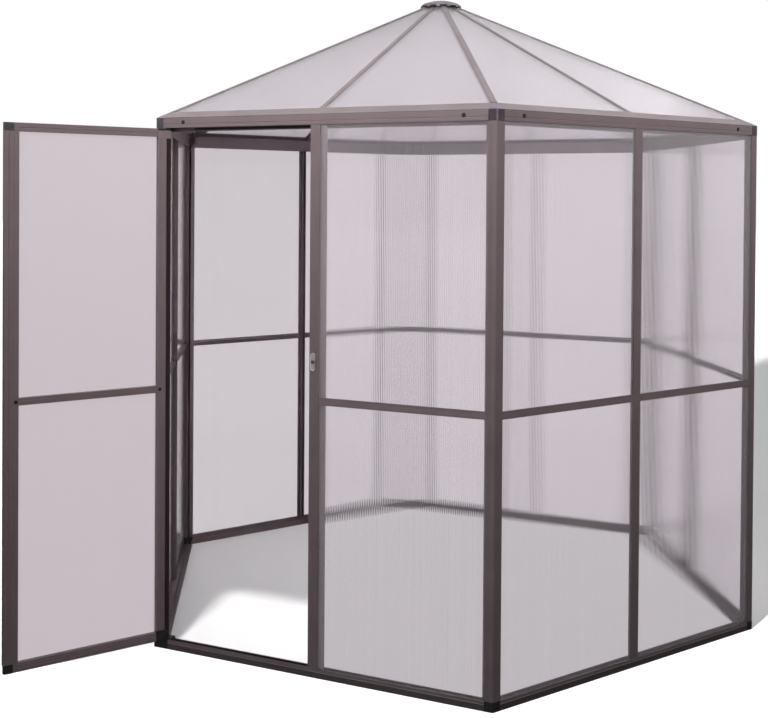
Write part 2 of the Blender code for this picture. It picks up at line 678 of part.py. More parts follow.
def door(frame, glazing, plastic):
    """The door leaf, drawn closed round its pivot axis; the empty turns it open."""
    left = -PIVOT_INSET
    right = HALF_SIDE - MULLION_WIDTH / 2 - POST_FLANGE - 2 * DOOR_GAP - PIVOT_INSET
    front = DOOR_SETBACK - PIVOT_DEPTH
    low = BASE_HEIGHT + DOOR_BOTTOM_GAP
    high = EAVE_BOTTOM - DOOR_TOP_GAP
    inner_left = left + STILE_WIDTH + FIT
    inner_right = right - STILE_WIDTH - FIT
    stile = box_section(STILE_WIDTH, DOOR_GROOVE)

    def rail(name, outline):
        return sweep(name, outline, lambda z, y: (inner_left, front + y, z),
                     lambda z, y: (inner_right, front + y, z), frame)

    top = [(high - z, y) for z, y in box_section(TOP_RAIL_HEIGHT, DOOR_GROOVE)]
    bottom = [(low + z, y) for z, y in box_section(BOTTOM_RAIL_HEIGHT, DOOR_GROOVE)]
    middle = [(DOOR_MID_CENTRE + z, y) for z, y in double_groove(DOOR_MID_HEIGHT, DOOR_GROOVE)]
    pieces = [
        upright("door_hinge_stile", [(left + x, front + y) for x, y in stile],
                low + PLUG_HEIGHT + FIT, high - PLUG_HEIGHT - FIT, frame),
        upright("door_latch_stile", [(right - x, front + y) for x, y in stile], low, high, frame),
        rail("door_top_rail", top),
        rail("door_mid_rail", middle),
        rail("door_bottom_rail", bottom)]
    pane_y = front + DOOR_THICKNESS / 2 - SHEET / 2
    pane_left = inner_left - DOOR_GROOVE
    pane_right = inner_right + DOOR_GROOVE
    into = DOOR_GROOVE - FIT
    spans = [("door_lower_pane", low + BOTTOM_RAIL_HEIGHT - into,
              DOOR_MID_CENTRE - DOOR_MID_HEIGHT / 2 + into),
             ("door_upper_pane", DOOR_MID_CENTRE + DOOR_MID_HEIGHT / 2 - into,
              high - TOP_RAIL_HEIGHT + into)]
    for name, z_low, z_high in spans:
        pieces.append(block(name, (pane_left, pane_y, z_low),
                            (pane_right, pane_y + SHEET, z_high), glazing))
    pieces.append(pivot_plug("door_bottom_pivot", left, front, low, 1, plastic))
    pieces.append(pivot_plug("door_top_pivot", left, front, high, -1, plastic))
    axis = bpy.data.objects.new("door_hinge_axis", None)
    bpy.context.collection.objects.link(axis)
    x, y = pivot_place()
    axis.location = (x, y + CENTRE_Y, 0)
    axis.rotation_euler = (0, 0, -DOOR_OPEN)
    for piece in pieces:
        piece.parent = axis
    return pieces


def pivot_plug(name, left, front, level, up, finish):
    """Corner plug of the hinge stile; up is 1 where the stile lies above the plug."""
    back = front + DOOR_THICKNESS
    inner = left + STILE_WIDTH - DOOR_GROOVE - SKIN - FIT
    inside = level + up * PLUG_HEIGHT
    end = inside + up * PLUG_TENON
    outside = level - up * PIVOT_LENGTH
    near, far = sorted((level, inside))
    plug = block(name, (left, front, near), (left + STILE_WIDTH, back, far), finish)
    near, far = sorted((level + up * TENON_ROOT, end))
    tenon = block("tenon", (left + SKIN + FIT, front + SKIN + FIT, near),
                  (inner, back - SKIN - FIT, far), finish)
    near, far = sorted((outside, level + up * PIN_ROOT))
    pin = cylinder("pin", PIVOT_RADIUS, near, far, finish)
    return settle(plug, [tenon, pin])


def latch(metal, screw):
    """Turn latch on the door mullion; upright it frees the door, turned it holds it."""
    face = CENTRE_Y - APOTHEM
    centre = Vector((LATCH_OFFSET, 0, LATCH_HEIGHT))
    straight = (LATCH_LENGTH - LATCH_WIDTH) / 2
    outline = []
    for i in range(LATCH_SIDES):
        angle = 2 * math.pi * (i + 0.5) / LATCH_SIDES
        shift = straight if math.sin(angle) > 0 else -straight
        outline.append((LATCH_WIDTH / 2 * math.cos(angle),
                        LATCH_WIDTH / 2 * math.sin(angle) + shift))

    def disc(radius):
        turn = 2 * math.pi / LATCH_SIDES
        return [(radius * math.cos(turn * i), radius * math.sin(turn * i))
                for i in range(LATCH_SIDES)]

    def outwards(name, points, near, far, finish):
        made = sweep(name, points, lambda x, z: (x, -near, z), lambda x, z: (x, -far, z), finish)
        made.location = (centre.x, face, centre.z)
        return made

    near = 2 * FIT
    far = near + LATCH_THICKNESS
    plate = outwards("turn_latch", outline, near, far, metal)
    hole = outwards("latch_hole", disc(LATCH_SHAFT + FIT), -FIT, far + SKIN, metal)
    settle(plate, [hole], "DIFFERENCE")
    pivot = outwards("latch_pivot", disc(LATCH_SHAFT), FIT, far + 2 * FIT, screw)
    head = outwards("head", disc(LATCH_HEAD), far + FIT, far + FIT + LATCH_HEAD_THICKNESS, screw)
    settle(pivot, [head])
    return [plate, pivot]


def main():
    for old in list(bpy.data.objects):
        bpy.data.objects.remove(old)
    frame = material("frame_aluminium", (0.105, 0.078, 0.072), 0.45, 0.35)
    glazing = material("twin_wall_sheet", (0.62, 0.57, 0.62), 0.35)
    plastic = material("black_plastic", (0.018, 0.017, 0.019), 0.5)
    steel = material("bright_steel", (0.62, 0.60, 0.58), 0.3, 1.0)
    base_rails(frame)
    corner_posts(frame)
    mullions(frame)
    eave_rails(frame)
    wall_panes(glazing)
    hip_rafters(frame)
    mid_rafters(frame)
    roof_panes(glazing)
    roof_crown(plastic)
    door(frame, glazing, plastic)
    latch(steel, steel)


main()
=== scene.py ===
"""Looks of the six-sided aluminium greenhouse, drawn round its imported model.

Metres, +Z up. The origin is the middle of the underside of the door wall's
base rail. Walls and corners count anticlockwise from the door wall, which
faces -Y. The door stands open at rest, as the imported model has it.
"""
import json
import math

import bmesh
import bpy
from bpy.props import FloatProperty, FloatVectorProperty, IntProperty, PointerProperty
from mathutils import Matrix, Vector

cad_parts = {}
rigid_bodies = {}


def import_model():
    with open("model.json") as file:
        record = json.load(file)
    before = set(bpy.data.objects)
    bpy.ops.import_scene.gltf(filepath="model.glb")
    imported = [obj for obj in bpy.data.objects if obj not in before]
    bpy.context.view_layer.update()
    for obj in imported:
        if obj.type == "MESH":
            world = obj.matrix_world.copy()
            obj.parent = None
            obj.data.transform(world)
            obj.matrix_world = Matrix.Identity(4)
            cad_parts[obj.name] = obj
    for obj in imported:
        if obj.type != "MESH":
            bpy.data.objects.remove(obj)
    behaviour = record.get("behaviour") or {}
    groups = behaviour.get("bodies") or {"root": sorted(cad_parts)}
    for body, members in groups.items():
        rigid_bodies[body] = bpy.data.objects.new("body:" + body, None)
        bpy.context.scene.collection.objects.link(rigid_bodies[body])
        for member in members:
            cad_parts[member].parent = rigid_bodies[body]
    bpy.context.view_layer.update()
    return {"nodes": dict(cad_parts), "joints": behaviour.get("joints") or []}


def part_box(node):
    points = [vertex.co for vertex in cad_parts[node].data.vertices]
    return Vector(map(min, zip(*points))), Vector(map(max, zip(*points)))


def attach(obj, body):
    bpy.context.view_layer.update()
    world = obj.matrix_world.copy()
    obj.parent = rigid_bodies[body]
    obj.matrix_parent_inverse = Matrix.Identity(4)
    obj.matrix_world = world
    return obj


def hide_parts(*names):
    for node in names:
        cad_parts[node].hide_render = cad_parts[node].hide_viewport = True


bl_info = {
    "name": "Aluminium Greenhouse Looks",
    "version": (1, 0, 0),
    "blender": (4, 5, 0),
    "location": "View3D > Sidebar > Greenhouse",
    "description": "Bars, sheets, mouldings and screws of a six-sided greenhouse",
    "category": "Object",
}

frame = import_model()

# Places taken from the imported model
SIX = 6
SIN60 = math.sin(math.radians(60))
TAN30 = math.tan(math.radians(30))
TAN60 = math.tan(math.radians(60))
SILL_LOW, SILL_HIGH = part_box("base_rail_1")
BACK_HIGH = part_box("base_rail_4")[1]
FRONT_FACE = SILL_LOW[1]
APOTHEM = (BACK_HIGH[1] - SILL_LOW[1]) / 2
CENTRE = Vector((0, FRONT_FACE + APOTHEM, 0))
HALF_SIDE = APOTHEM * TAN30
BASE_HEIGHT = SILL_HIGH[2]
EAVE_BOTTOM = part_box("mullion_2")[1][2]

ALONG = Vector((1, 0, 0))       # along the door wall, and along the closed leaf
OUT = Vector((0, -1, 0))        # the way the door wall faces
UP = Vector((0, 0, 1))

# How the mesh tools work
MERGE = 0.00001                 # points closer than this become one
FLAT = math.radians(0.5)        # faces that turn less than this become one
SHARP = math.radians(35)        # edges of sheets and screws that turn more stay sharp
FINE = 3                        # faces across the rounding of a moulding
ROUNDED = 25.0                  # edges that turn more than this, in degrees, are rounded


def cad_copy(node):
    """A merged working copy of a CAD node's mesh, with its flat faces whole again."""
    bm = bmesh.new()
    bm.from_mesh(frame["nodes"][node].data)
    bmesh.ops.remove_doubles(bm, verts=bm.verts, dist=MERGE)
    bmesh.ops.dissolve_limit(bm, angle_limit=FLAT, verts=bm.verts, edges=bm.edges,
                             use_dissolve_boundaries=False)
    return bm


def split(bm, spot, normal, **clear):
    """Cut a mesh along a plane and give the cut's points and edges; clear drops a side."""
    return bmesh.ops.bisect_plane(bm, geom=bm.verts[:] + bm.edges[:] + bm.faces[:],
                                  plane_co=spot, plane_no=normal, **clear)["geom_cut"]


def skin(rings, closed=False):
    """A mesh through rings of points, capped at its two ends unless it closes up."""
    bm = bmesh.new()
    rows = [[bm.verts.new(point) for point in ring] for ring in rings]
    for one, two in zip(rows, rows[1:] + rows[:1] if closed else rows[1:]):
        for i in range(len(one)):
            j = (i + 1) % len(one)
            bm.faces.new((one[i], one[j], two[j], two[i]))
    if not closed:
        bm.faces.new(rows[0])
        bm.faces.new(rows[-1])
    bmesh.ops.recalc_face_normals(bm, faces=bm.faces)
    return bm


def plain_object(name, bm, *finishes):
    """A bmesh as a new object at the origin, with its named finishes in order."""
    mesh = bpy.data.meshes.new(name)
    bm.to_mesh(mesh)
    bm.free()
    for extra in ("custom_normal", "sharp_face", "sharp_edge"):
        if extra in mesh.attributes:
            mesh.attributes.remove(mesh.attributes[extra])
    made = bpy.data.objects.new(name, mesh)
    bpy.context.scene.collection.objects.link(made)
    for label in finishes:
        mesh.materials.append(finish(label))
    return made


def bake_modifiers(made):
    """Turn an object's modifiers into its own plain mesh."""
    bpy.context.view_layer.update()
    graph = bpy.context.evaluated_depsgraph_get()
    mesh = bpy.data.meshes.new_from_object(made.evaluated_get(graph))
    mesh.name = made.name
    made.modifiers.clear()
    old = made.data
    made.data = mesh
    bpy.data.meshes.remove(old)
    return made


def soften(made, width, segments=2, angle=ROUNDED):
    """Round the edges that turn more than an angle in degrees and keep flat faces flat."""
    made.data.shade_smooth()
    bevel = made.modifiers.new("edge_rounding", "BEVEL")
    bevel.width = width
    bevel.segments = segments
    bevel.limit_method = "ANGLE"
    bevel.angle_limit = math.radians(angle)
    bevel.use_clamp_overlap = False
    bevel.miter_outer = "MITER_SHARP"
    made.modifiers.new("flat_faces", "WEIGHTED_NORMAL").mode = "FACE_AREA"
    return bake_modifiers(made)


def moulded(name, bm, width, *finishes, angle=ROUNDED):
    """A bmesh as a new object with finely rounded edges."""
    return soften(plain_object(name, bm, *finishes), width, FINE, angle)


def keep_inside(made, node):
    """Bring points that the rounding pushed out of a CAD node's box back to its sides."""
    low, high = (Vector(corner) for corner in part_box(node))
    for vert in made.data.vertices:
        vert.co = [min(max(vert.co[i], low[i]), high[i]) for i in range(3)]
    return made


def place(made, body, slot, *nodes):
    """Let a piece ride on its body and stand for CAD nodes."""
    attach(made, body)
    if nodes:
        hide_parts(*nodes)
    return made


def wall_turn(index):
    """Turns a piece drawn in the door wall about the greenhouse's middle to another wall."""
    return (Matrix.Translation(CENTRE) @ Matrix.Rotation(math.radians(60 * index), 4, "Z")
            @ Matrix.Translation(-CENTRE))


def aimed(turn, way):
    """A direction after a turn."""
    return turn.to_3x3() @ way


# Nodes and materials

WHITE = (1, 1, 1)
FINE_BUMP = 0.0002          # depth of the grain of coats and mouldings


def add_node(tree, kind, inputs=(), **settings):
    """The outputs of a new node, whose inputs are joined to sockets or take values."""
    node = tree.nodes.new(kind)
    for key, value in settings.items():
        setattr(node, key, value)
    for label, value in dict(inputs).items():
        if isinstance(value, bpy.types.NodeSocket):
            tree.links.new(value, node.inputs[label])
        else:
            node.inputs[label].default_value = value
    return node.outputs


def shade(colour, factor):
    """A colour, lighter or darker by a factor."""
    return tuple(min(1.0, part * factor) for part in colour)


class NodeBoard:
    """Short way to add and join the nodes of one material."""

    def __init__(self, name, **uniform):
        self.material = bpy.data.materials.new(name)
        self.material.use_nodes = True
        self.tree = self.material.node_tree
        self.shader = self.tree.nodes["Principled BSDF"]
        for key, value in uniform.items():
            label = key.replace("_", " ").title().replace("Ior", "IOR")
            self.shader.inputs[label].default_value = value

    def add(self, kind, inputs=(), **settings):
        return add_node(self.tree, kind, inputs, **settings)

    def feed(self, socket, label):
        """Join a socket to an input of the shader."""
        self.tree.links.new(socket, self.shader.inputs[label])

    def math(self, operation, *values):
        """The socket of one sum of numbers and sockets."""
        return self.add("ShaderNodeMath", dict(enumerate(values)), operation=operation)[0]

    def noise(self, scale, detail=3.0, stretch=(1, 1, 1)):
        """Noise on Object coordinates, stretched by three factors."""
        spot = self.add("ShaderNodeTexCoord")["Object"]
        mapped = self.add("ShaderNodeMapping", {"Vector": spot, "Scale": stretch})["Vector"]
        return self.add("ShaderNodeTexNoise", {"Vector": mapped, "Scale": scale,
                                               "Detail": detail, "Roughness": 0.55})["Fac"]

    def ramp(self, source, stops, label=None, colour=WHITE):
        """Shades of a colour at places of a 0 to 1 value, fed to the shader's input label."""
        ramp = self.add("ShaderNodeValToRGB", {"Fac": source})["Color"]
        band = ramp.node.color_ramp
        while len(band.elements) < len(stops):
            band.elements.new(0.5)
        for element, (position, factor) in zip(band.elements, stops):
            element.position = position
            element.color = (*shade(colour, factor), 1.0)
        if label:
            self.feed(ramp, label)
        return ramp

    def bump(self, source, strength):
        """Fine bumps from a noise."""
        self.feed(self.add("ShaderNodeBump", {"Height": source, "Strength": strength,
                                              "Distance": FINE_BUMP})["Normal"], "Normal")


def powder_coat(name, colour):
    """Satin powder coat: slight cloudiness and a fine orange peel."""
    board = NodeBoard(name, metallic=0.5, coat_weight=0.25, coat_roughness=0.25)
    cloud = board.noise(9.0, detail=4.0)
    board.ramp(cloud, ((0.3, 0.92), (0.52, 1.0), (0.75, 1.08)), "Base Color", colour)
    board.ramp(cloud, ((0.3, 0.50), (0.75, 0.38)), "Roughness")
    board.bump(board.noise(900.0, detail=2.0), 0.12)
    return board.material


def sheet_plastic(name, colour, clear, roughness, webs=1.0):
    """Translucent twin-wall sheet; the flutes are in the mesh, the webs between them here.

    The sheet's own map counts flutes across it and holds metres along it.
    """
    board = NodeBoard(name, ior=1.3, coat_weight=0.1, coat_roughness=0.12, roughness=roughness)
    spot = board.add("ShaderNodeTexCoord")["UV"]
    across = board.add("ShaderNodeSeparateXYZ", {"Vector": spot})["X"]
    web = board.ramp(board.math("PINGPONG", across, 0.5), ((0.05, 0.0), (0.12, 1.0)))
    draw = board.add("ShaderNodeTexWhiteNoise", {"W": board.math("ROUND", across)},
                     noise_dimensions="1D")["Value"]
    streak = board.add("ShaderNodeTexNoise", {"W": across, "Scale": 0.12, "Detail": 3.0},
                       noise_dimensions="1D")["Fac"]
    board.ramp(board.math("MULTIPLY_ADD", draw, 0.35, streak), ((0.35, 0.994), (0.85, 1.004)),
               "Base Color", colour)
    thick = board.math("MULTIPLY_ADD", draw, 0.11 * webs, 0.04 * webs)
    passed = board.math("MULTIPLY_ADD", web, thick, 1.0)
    open_share = board.math("SUBTRACT", passed, thick)
    board.feed(board.math("MULTIPLY", open_share, clear), "Transmission Weight")
    return board.material


def moulded_plastic(name, colour, roughness):
    """Injection-moulded plastic with a fine spark-eroded grain."""
    board = NodeBoard(name, specular_ior_level=0.3)
    cloud = board.noise(25.0)
    board.ramp(cloud, ((0.3, 0.8), (0.7, 1.25)), "Base Color", colour)
    board.ramp(cloud, ((0.3, roughness), (0.7, roughness + 0.12)), "Roughness")
    board.bump(board.noise(1400.0, detail=2.0), 0.2)
    return board.material


def bright_steel(name, colour):
    """Zinc-plated steel with fine rolling lines."""
    board = NodeBoard(name, metallic=1.0)
    lines = board.noise(1.0, detail=2.0, stretch=(40.0, 40.0, 1600.0))
    board.ramp(lines, ((0.3, 0.85), (0.7, 1.1)), "Base Color", colour)
    board.ramp(lines, ((0.3, 0.22), (0.7, 0.38)), "Roughness")
    return board.material


DOOR_SHEET = (0.872, 0.823, 0.852)      # tints that a user doesn't set
# near-black of the strip on the door's hinge stile: painted shade
HINGE_SHADE = (0.012, 0.006, 0.007)
BLACK_SCREW = (0.012, 0.009, 0.010)
DARK_STEEL = (0.13, 0.10, 0.11)
FINISHES = {}               # the materials made so far


def finish(name):
    """The named material, made from the user's colours when it is first asked for."""
    if name in FINISHES:
        return FINISHES[name]
    user = bpy.context.scene.greenhouse_finish
    maker, label, colour, *rest = {
        "frame": (powder_coat, "taupe_powder_coat", user.frame),
        # painted shade: a darker copy of the powder coat for the lower half of the base rails
        "skirt": (powder_coat, "taupe_skirt", shade(user.frame, 0.42)),
        "wall_sheet": (sheet_plastic, "wall_sheet", user.sheet, user.clear, 0.01),
        "roof_sheet": (sheet_plastic, "roof_sheet", user.roof_sheet, user.roof_clear, 0.12),
        "door_sheet": (sheet_plastic, "door_sheet", DOOR_SHEET, user.clear, 0.02, 0.3),
        "plastic": (moulded_plastic, "black_moulding", user.plastic, 0.42),
        "cap": (moulded_plastic, "dark_grey_moulding", user.cap, 0.38),
        # painted shade: a darker copy of the cap's plastic, for its faces that look out along the
        # walls
        "cap_wing": (moulded_plastic, "cap_wing_moulding", shade(user.cap, 0.32), 0.5),
        "plug": (moulded_plastic, "charcoal_moulding", user.plug, 0.4),
        "frame_plug": (moulded_plastic, "taupe_moulding", shade(user.frame, 0.7), 0.45),
        "rubber": (moulded_plastic, "dark_rubber", HINGE_SHADE, 0.75),
        "crown": (moulded_plastic, "grey_crown_moulding", user.crown, 0.45),
        "screw": (moulded_plastic, "black_screw", BLACK_SCREW, 0.5),
        "steel": (bright_steel, "zinc_plated_steel", user.steel),
        # painted shade: a darker copy of the steel, for the floor of the latch's dish
        "matt_steel": (bright_steel, "matt_steel", shade(user.steel, 0.66)),
        "dark_steel": (bright_steel, "blackened_steel", DARK_STEEL),
    }[name]
    FINISHES[name] = maker(label, tuple(colour), *rest)
    return FINISHES[name]


# What a user may change


def tint(name, description, default):
    """A colour property."""
    return FloatVectorProperty(name=name, description=description, default=default,
                               subtype="COLOR", min=0, max=1)


def length(name, description, default, low, high):
    """A property with a length between two limits."""
    return FloatProperty(name=name, description=description, default=default, min=low, max=high,
                         unit="LENGTH")


def amount(name, description, default, high, low=0, subtype="NONE"):
    """A property with a plain number between two limits."""
    return FloatProperty(name=name, description=description, default=default, min=low, max=high,
                         subtype=subtype)


class GreenhouseFinish(bpy.types.PropertyGroup):
    """Colours of the finishes."""
    frame: tint("Frame", "Powder coat of the aluminium bars", (0.171, 0.128, 0.135))
    sheet: tint("Wall sheet", "Tint of the wall sheets", (0.97, 0.94, 0.965))
    roof_sheet: tint("Roof sheet", "Tint of the roof sheets", (0.825, 0.775, 0.825))
    clear: amount("Clearness", "Share of light that a wall or door sheet passes", 0.95, 1,
                  subtype="FACTOR")
    roof_clear: amount("Roof clearness", "Share of light that a roof sheet passes", 0.88, 1,
                       subtype="FACTOR")
    plastic: tint("Black plastic", "Base corner blocks, door plugs and seals",
                  (0.014, 0.013, 0.014))
    cap: tint("Grey plastic", "Eave corner caps", (0.128, 0.104, 0.131))
    plug: tint("Charcoal plastic", "Plug at the door's free upper corner", (0.045, 0.039, 0.041))
    crown: tint("Roof crown", "Moulded cap at the top of the roof", (0.17, 0.150, 0.165))
    steel: tint("Steel", "Turn latch", (0.74, 0.64, 0.655))


class GreenhouseDetail(bpy.types.PropertyGroup):
    """Sizes of the details."""
    edge: length("Edge rounding", "Rounding of the bars' edges", 0.0003, 0.0001, 0.0006)
    line_width: length("Line width", "Width of the lines pressed along the bars",
                       0.0024, 0.0005, 0.005)
    line_depth: length("Line depth", "Depth of the lines pressed along the bars",
                       0.0011, 0.0001, 0.0014)
    flute_pitch: length("Flute pitch", "Distance between two webs of a sheet", 0.006, 0.004, 0.02)
    flute_depth: length("Flute depth", "How far a sheet's skin sinks between webs",
                        0.0004, 0, 0.0005)
    flute_steps: IntProperty(name="Flute steps", description="Faces across one flute",
                             default=4, min=2, max=8)
    screw_radius: length("Screw head radius", "Radius of the fascia's screw heads",
                         0.0070, 0.002, 0.009)
    screw_height: length("Screw head height", "Height of a head, which the fascia sinks",
                         0.0011, 0.0005, 0.0013)
    screw_inset: length("Screw distance", "Fascia screws, from the wall's corner",
                        0.107, 0.05, 0.3)


class GreenhouseStage(bpy.types.PropertyGroup):
    """Camera and light."""
    focal: amount("Focal length", "Focal length in pixels of a picture that is 768 wide",
                  1173.62, 4000, low=300)
    floor: tint("Floor", "Colour of the floor", (0.05, 0.05, 0.05))
    behind: amount("Behind the sheets", "Brightness of the background through the sheets",
                   0.665, 2)
    behind_floor: amount("Floor behind the sheets",
                         "Brightness of the inner floor through the sheets", 0.56, 2)
    sky: amount("Sky", "Strength of the even light from all round", 0.30, 2)
    shine: amount("Shine", "Brightness of what glossy faces mirror", 0.30, 2)
    shine_above: amount("Reflected sky above", "Strength of the sky overhead in reflections",
                        1.10, 2)
    key: amount("Softboxes", "Power that the soft lamps take shares of", 24.0, 500)
    fill: amount("Floor fill", "Strength of the even light on the floor", 0.57, 5)
    high: amount("High floor light", "Strength of the steep light on the floor", 3.3, 20)
    low: amount("Low floor light", "Strength of the slanting light on the floor", 20.0, 100)


# Bars

SHADE_TOP = 0.0195              # top of the base rails' lower half, whose outer face is painted darker as shade
FACING = 0.9                # least cosine of a face's normal with the way that it looks
FACING_STRAIGHT = 0.98      # the same for a face that looks straight that way
BLOCK_TOP = BASE_HEIGHT + 0.0006        # top face of the base corner blocks
CAP_LOW = EAVE_BOTTOM - 0.0003          # lower face of the eave corner caps
CUT_MARGIN = 0.0001
SCREW_HEIGHT = EAVE_BOTTOM + 0.0180     # middle of the fascia's screws
POCKET_ROOM = 0.0003        # round the head of a screw that is sunk into the fascia
POCKET_SIDES = 24
BARS = ("base_rail", "mullion", "eave_rail", "hip_rafter", "mid_rafter")
DOOR_BARS = ("door_hinge_stile", "door_latch_stile", "door_top_rail", "door_mid_rail",
             "door_bottom_rail")
LINE_NEAR = 0.00002         # points this near a pressed line's middle sink
FACE_NEAR = 0.0002          # where they are also this near the face
WALL_LINES = {"eave_rail": (EAVE_BOTTOM + 0.0125, EAVE_BOTTOM + 0.0320), "base_rail": (0.0205,)}
LINE_SHARES = {"door_hinge_stile": (0.34, 0.70), "door_latch_stile": (0.34, 0.70),
               "door_top_rail": (0.45,), "door_mid_rail": (0.68,), "door_bottom_rail": (0.40, 0.75)}
CAP_GAP_SHADE = 0.0045            # width of the band at an eave corner cap's edge against the fascia, painted black as the shadow of the gap
BLOCK_ROUNDING = 3          # rounding of blocks and caps, in roundings of a bar's edge
PLUG_ROUNDING = 2           # and of the door's plugs
PLUG_FOOT = 0.0280          # height of the moulded plugs at the door's lower corners
PLUG_HEAD = 0.0262          # and at its upper corners
HEAD_PLUGS = {"door_hinge_stile": "frame_plug", "door_latch_stile": "plug"}
PLUG_WIDTH = 0.0300         # the plug at the latch side stops short of the leaf's sheet
PLUG_CHAMFER = 0.0090
CORNER_NEAR = 0.001         # points this near the leaf's lowest corner move for the chamfer


def slice_of(node, low=None, high=None):
    """The part of a node between two heights, closed again where it is cut."""
    bm = cad_copy(node)
    for level, keep_above in ((low, True), (high, False)):
        if level is not None:
            cut = split(bm, UP * level, UP, clear_inner=keep_above, clear_outer=not keep_above)
            rim = [part for part in cut if isinstance(part, bmesh.types.BMEdge)]
            bmesh.ops.contextual_create(bm, geom=rim)
    bmesh.ops.recalc_face_normals(bm, faces=bm.faces)
    return bm


def local_box(node, turn):
    """Lowest and highest corners of a CAD node in the frame that a turn starts from."""
    back = turn.inverted()
    spots = [back @ vert.co for vert in frame["nodes"][node].data.vertices]
    return [Vector([limit(spot[i] for spot in spots) for i in range(3)]) for limit in (min, max)]


def door_turn():
    """Turns the closed door leaf, drawn round its hinge, to where it stands open."""
    hinge = next(joint for joint in frame["joints"] if joint["name"] == "door_hinge")
    return (Matrix.Translation((hinge["pos_m"][0], hinge["pos_m"][1], 0))
            @ Matrix.Rotation(-math.radians(hinge["range_deg"][1]), 4, "Z"))


def score(bm, spot, side, facing):
    """Press a V-shaped line, through spot and square to side, into the face that looks that way."""
    detail = bpy.context.scene.greenhouse_detail
    for shift in (-detail.line_width / 2, 0, detail.line_width / 2):
        split(bm, spot + side * shift, side)
    for vert in bm.verts:
        away = vert.co - spot
        if abs(away.dot(side)) < LINE_NEAR and abs(away.dot(facing)) < FACE_NEAR:
            vert.co -= facing * detail.line_depth


def door_bar_lines(node):
    """Lines pressed into both faces of a door bar: place, side and facing in the closed leaf."""
    low, high = local_box(node, door_turn())
    side, start, end = (ALONG, low.x, high.x) if "stile" in node else (UP, low.z, high.z)
    return [(side * (start + share * (end - start)) - OUT * face, side, way)
            for share in LINE_SHARES[node] for face, way in ((low.y, OUT), (high.y, -OUT))]


def fascia_screw_spots(index, sink):
    """Place and facing of the two screws in a wall's fascia, this deep behind its face."""
    turn = wall_turn(index)
    reach = HALF_SIDE - bpy.context.scene.greenhouse_detail.screw_inset
    return [(turn @ Vector((sign * reach, FRONT_FACE + sink, SCREW_HEIGHT)), aimed(turn, OUT))
            for sign in (-1, 1)]


def sink_pockets(made, spots, radius, depth):
    """Cut a round, flat-bottomed pocket into a piece at each (place, facing) spot."""
    bm = bmesh.new()
    for spot, way in spots:
        turn = way.to_track_quat("Z", "Y").to_matrix().to_4x4()
        bmesh.ops.create_cone(bm, cap_ends=True, segments=POCKET_SIDES, radius1=radius,
                              radius2=radius, depth=2 * depth,
                              matrix=Matrix.Translation(spot) @ turn)
    tool = plain_object("pockets", bm, "frame")
    cut = made.modifiers.new("pockets", "BOOLEAN")
    cut.operation = "DIFFERENCE"
    cut.solver = "EXACT"
    cut.object = tool
    bake_modifiers(made)
    bpy.data.objects.remove(tool)


class GREENHOUSE_OT_bars(bpy.types.Operator):
    """Draw the extruded bars of walls, roof and door with rounded edges and pressed lines."""
    bl_idname = "greenhouse.bars"
    bl_label = "Aluminium bars"

    def execute(self, context):
        detail = context.scene.greenhouse_detail
        for stem in BARS:
            for i in range(SIX):
                node = f"{stem}_{i + 1}"
                turn = wall_turn(i)
                facing = aimed(turn, OUT)
                bm = cad_copy(node)
                for height in WALL_LINES.get(stem, ()):
                    score(bm, turn @ Vector((0, FRONT_FACE, height)), UP, facing)
                made = plain_object(f"{node}_bar", bm, "frame")
                if stem == "eave_rail":
                    sink_pockets(made, fascia_screw_spots(i, 0), detail.screw_radius + POCKET_ROOM,
                                 detail.screw_height + POCKET_ROOM)
                # the lower half of a base rail's outer face is painted darker, as shade
                if stem == "base_rail":
                    made.data.materials.append(finish("skirt"))
                    for face in made.data.polygons:
                        if face.center.z < SHADE_TOP and face.normal.dot(facing) > FACING:
                            face.material_index = 1
                place(soften(made, detail.edge), "frame", "frame_aluminium", node)
        for i in range(SIX):
            node = f"corner_post_{i + 1}"
            bm = slice_of(node, BLOCK_TOP + CUT_MARGIN, CAP_LOW - CUT_MARGIN)
            made = soften(plain_object(f"{node}_bar", bm, "frame"), detail.edge)
            place(made, "frame", "frame_aluminium", node)
        turn = door_turn()
        for node in DOOR_BARS:
            low, high = (corner[2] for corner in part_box(node))
            bm = (slice_of(node, low + PLUG_FOOT + CUT_MARGIN, high - PLUG_HEAD - CUT_MARGIN)
                  if "stile" in node else cad_copy(node))
            for spot, side, facing in door_bar_lines(node):
                score(bm, turn @ spot, aimed(turn, side), aimed(turn, facing))
            made = soften(plain_object(f"{node}_bar", bm, "frame"), detail.edge)
            place(made, "door", "frame_aluminium", node)
        return {"FINISHED"}


